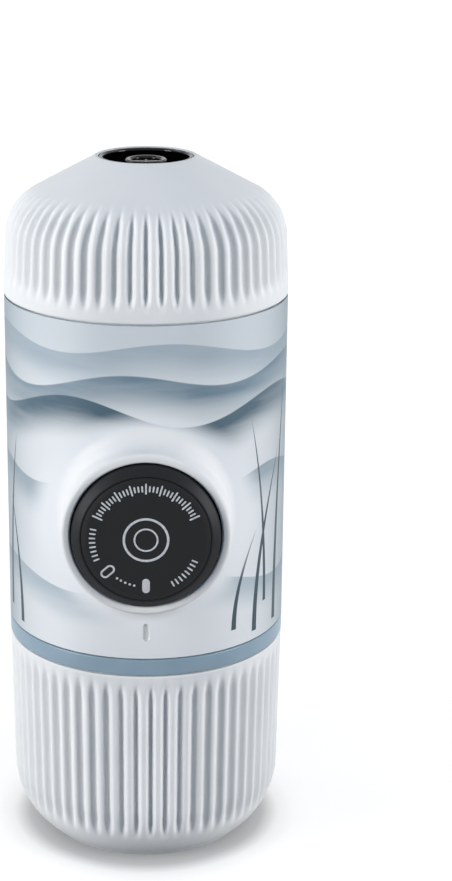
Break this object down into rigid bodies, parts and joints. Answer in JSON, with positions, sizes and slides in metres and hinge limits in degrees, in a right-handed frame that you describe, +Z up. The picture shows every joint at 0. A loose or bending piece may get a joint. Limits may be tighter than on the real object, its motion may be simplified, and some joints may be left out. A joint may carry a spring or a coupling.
{
  "type": "handheld manual espresso maker",
  "caption": "Handheld manual espresso maker: fluted white cup and outlet head on a printed cylindrical body with a round pump button on its front.",
  "frame": {"origin": "middle of the cup's base, on the axis of the body", "axes": "+Z up along the body's axis towards the outlet head, -Y towards the pump's button, +X to the right seen from the front"},
  "size_m": [0.0623, 0.071, 0.156],
  "materials": {
    "white_shell": "fine satin moulded",
    "printed_shell": "satin print on moulded plastic",
    "blue_grey_tank": "satin moulded",
    "black_plastic": "satin moulded",
    "button_face": "satin label",
    "inner_plastic": "moulded",
    "steel": "plain",
    "silicone": "moulded"
  },
  "bodies": {
    "cup": {"cup": "white_shell"},
    "tank": {"water_tank": "blue_grey_tank"},
    "tank_seal": {"tank_gasket": "silicone"},
    "main_body": {"body_shell": "printed_shell", "chassis": "inner_plastic", "button_guide": "inner_plastic", "guide_screws": "steel", "pump_cylinder": "inner_plastic", "rod_guide": "inner_plastic", "valve_block": "inner_plastic", "valve_screws": "steel", "inlet_seat": "silicone", "inlet_spring": "steel", "outlet_plug": "inner_plastic", "outlet_spring": "steel", "inlet_strainer": "inner_plastic", "vent_valve": "silicone", "brew_chamber": "black_plastic", "shower_screen": "steel", "rim_seal": "silicone", "chassis_screws": "steel"},
    "inlet_ball": {"inlet_ball": "steel"},
    "outlet_ball": {"outlet_ball": "steel"},
    "lock_ring": {"lock_ring": "inner_plastic", "return_spring": "steel"},
    "piston": {"piston": "inner_plastic", "piston_seal": "silicone", "button": "black_plastic", "button_label": "button_face", "button_screw": "steel"},
    "basket": {"filter_basket": "steel"},
    "head_seal": {"head_gasket": "silicone", "outlet_screen": "steel"},
    "outlet_head": {"head_core": "black_plastic", "head_shell": "white_shell", "spout": "black_plastic", "head_screws": "steel"}
  },
  "joints": [
    {"name": "cup_lift", "type": "slide", "parent": "cup", "child": "tank", "axis": [0, 0, 1], "range_m": [0, 0.042]},
    {"name": "tank_travel", "type": "slide", "parent": "tank", "child": "tank_seal", "axis": [0, 0, 1], "range_m": [0, 0.012]},
    {"name": "tank_turn", "type": "hinge", "parent": "tank_seal", "child": "main_body", "pos_m": [0, 0, 0.0622], "axis": [0, 0, 1], "range_deg": [0, 360]},
    {"name": "button_turn", "type": "hinge", "parent": "main_body", "child": "lock_ring", "pos_m": [0, 0, 0.0827], "axis": [0, -1, 0], "range_deg": [0, 45]},
    {"name": "button_stroke", "type": "slide", "parent": "lock_ring", "child": "piston", "axis": [0, -1, 0], "range_m": [0, 0.014], "deforming": ["return_spring"]},
    {"name": "inlet_ball_lift", "type": "slide", "parent": "main_body", "child": "inlet_ball", "axis": [0, 0, 1], "range_m": [0, 0.001], "stiffness_N_per_m": 20, "springref_m": -0.002, "deforming": ["inlet_spring"]},
    {"name": "outlet_ball_lift", "type": "slide", "parent": "main_body", "child": "outlet_ball", "axis": [0, 0, 1], "range_m": [0, 0.001], "stiffness_N_per_m": 20, "springref_m": -0.002, "deforming": ["outlet_spring"]},
    {"name": "basket_lift", "type": "slide", "parent": "main_body", "child": "basket", "axis": [0, 0, 1], "range_m": [0, 0.025]},
    {"name": "head_travel", "type": "slide", "parent": "basket", "child": "head_seal", "axis": [0, 0, 1], "range_m": [0, 0.012]},
    {"name": "head_turn", "type": "hinge", "parent": "head_seal", "child": "outlet_head", "pos_m": [0, 0, 0.139], "axis": [0, 0, 1], "range_deg": [0, 360]}
  ],
  "couplings": [
    {"joint": "tank_travel", "follows": "tank_turn", "m_per_rad": 0.0019098},
    {"joint": "head_travel", "follows": "head_turn", "m_per_rad": 0.0019098}
  ]
}
